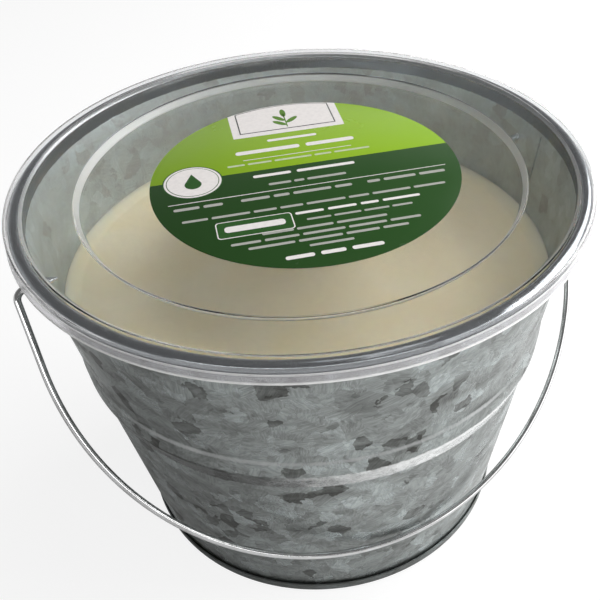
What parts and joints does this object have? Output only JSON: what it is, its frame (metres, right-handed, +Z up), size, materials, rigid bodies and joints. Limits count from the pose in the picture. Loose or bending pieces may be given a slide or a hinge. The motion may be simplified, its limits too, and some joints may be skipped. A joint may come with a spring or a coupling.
{
  "type": "citronella candle bucket",
  "caption": "Tapered galvanised pail with a wire bail, filled with wax round a wick, under a clear press-on lid with a round label.",
  "frame": {"origin": "centre of the base on the ground", "axes": "+Z up the bucket, X along the bail's pivot axis, the bail hangs on the -Y side"},
  "size_m": [0.155, 0.151, 0.1103],
  "materials": {
    "galvanised_wall": "spangled zinc",
    "galvanised_base": "dull zinc",
    "bright_wire": "bright",
    "wax": "soft, waxy",
    "cotton": "braided",
    "tinned_tab": "tinned",
    "clear_plastic": "clear, glossy",
    "label_paper": "satin print"
  },
  "bodies": {
    "bucket": {"bucket_wall": "galvanised_wall", "bucket_base": "galvanised_base", "wax_fill": "wax", "wick": "cotton", "wick_tab": "tinned_tab"},
    "bail": {"bail_handle": "bright_wire"},
    "lid": {"lid": "clear_plastic", "lid_label": "label_paper"}
  },
  "joints": [
    {"name": "bail_swing", "type": "hinge", "parent": "bucket", "child": "bail", "pos_m": [0, 0, 0.0993], "axis": [-1, 0, 0], "range_deg": [0, 282]},
    {"name": "lid_lift", "type": "slide", "parent": "bucket", "child": "lid", "axis": [0, 0, 1], "range_m": [0, 0.012]}
  ]
}
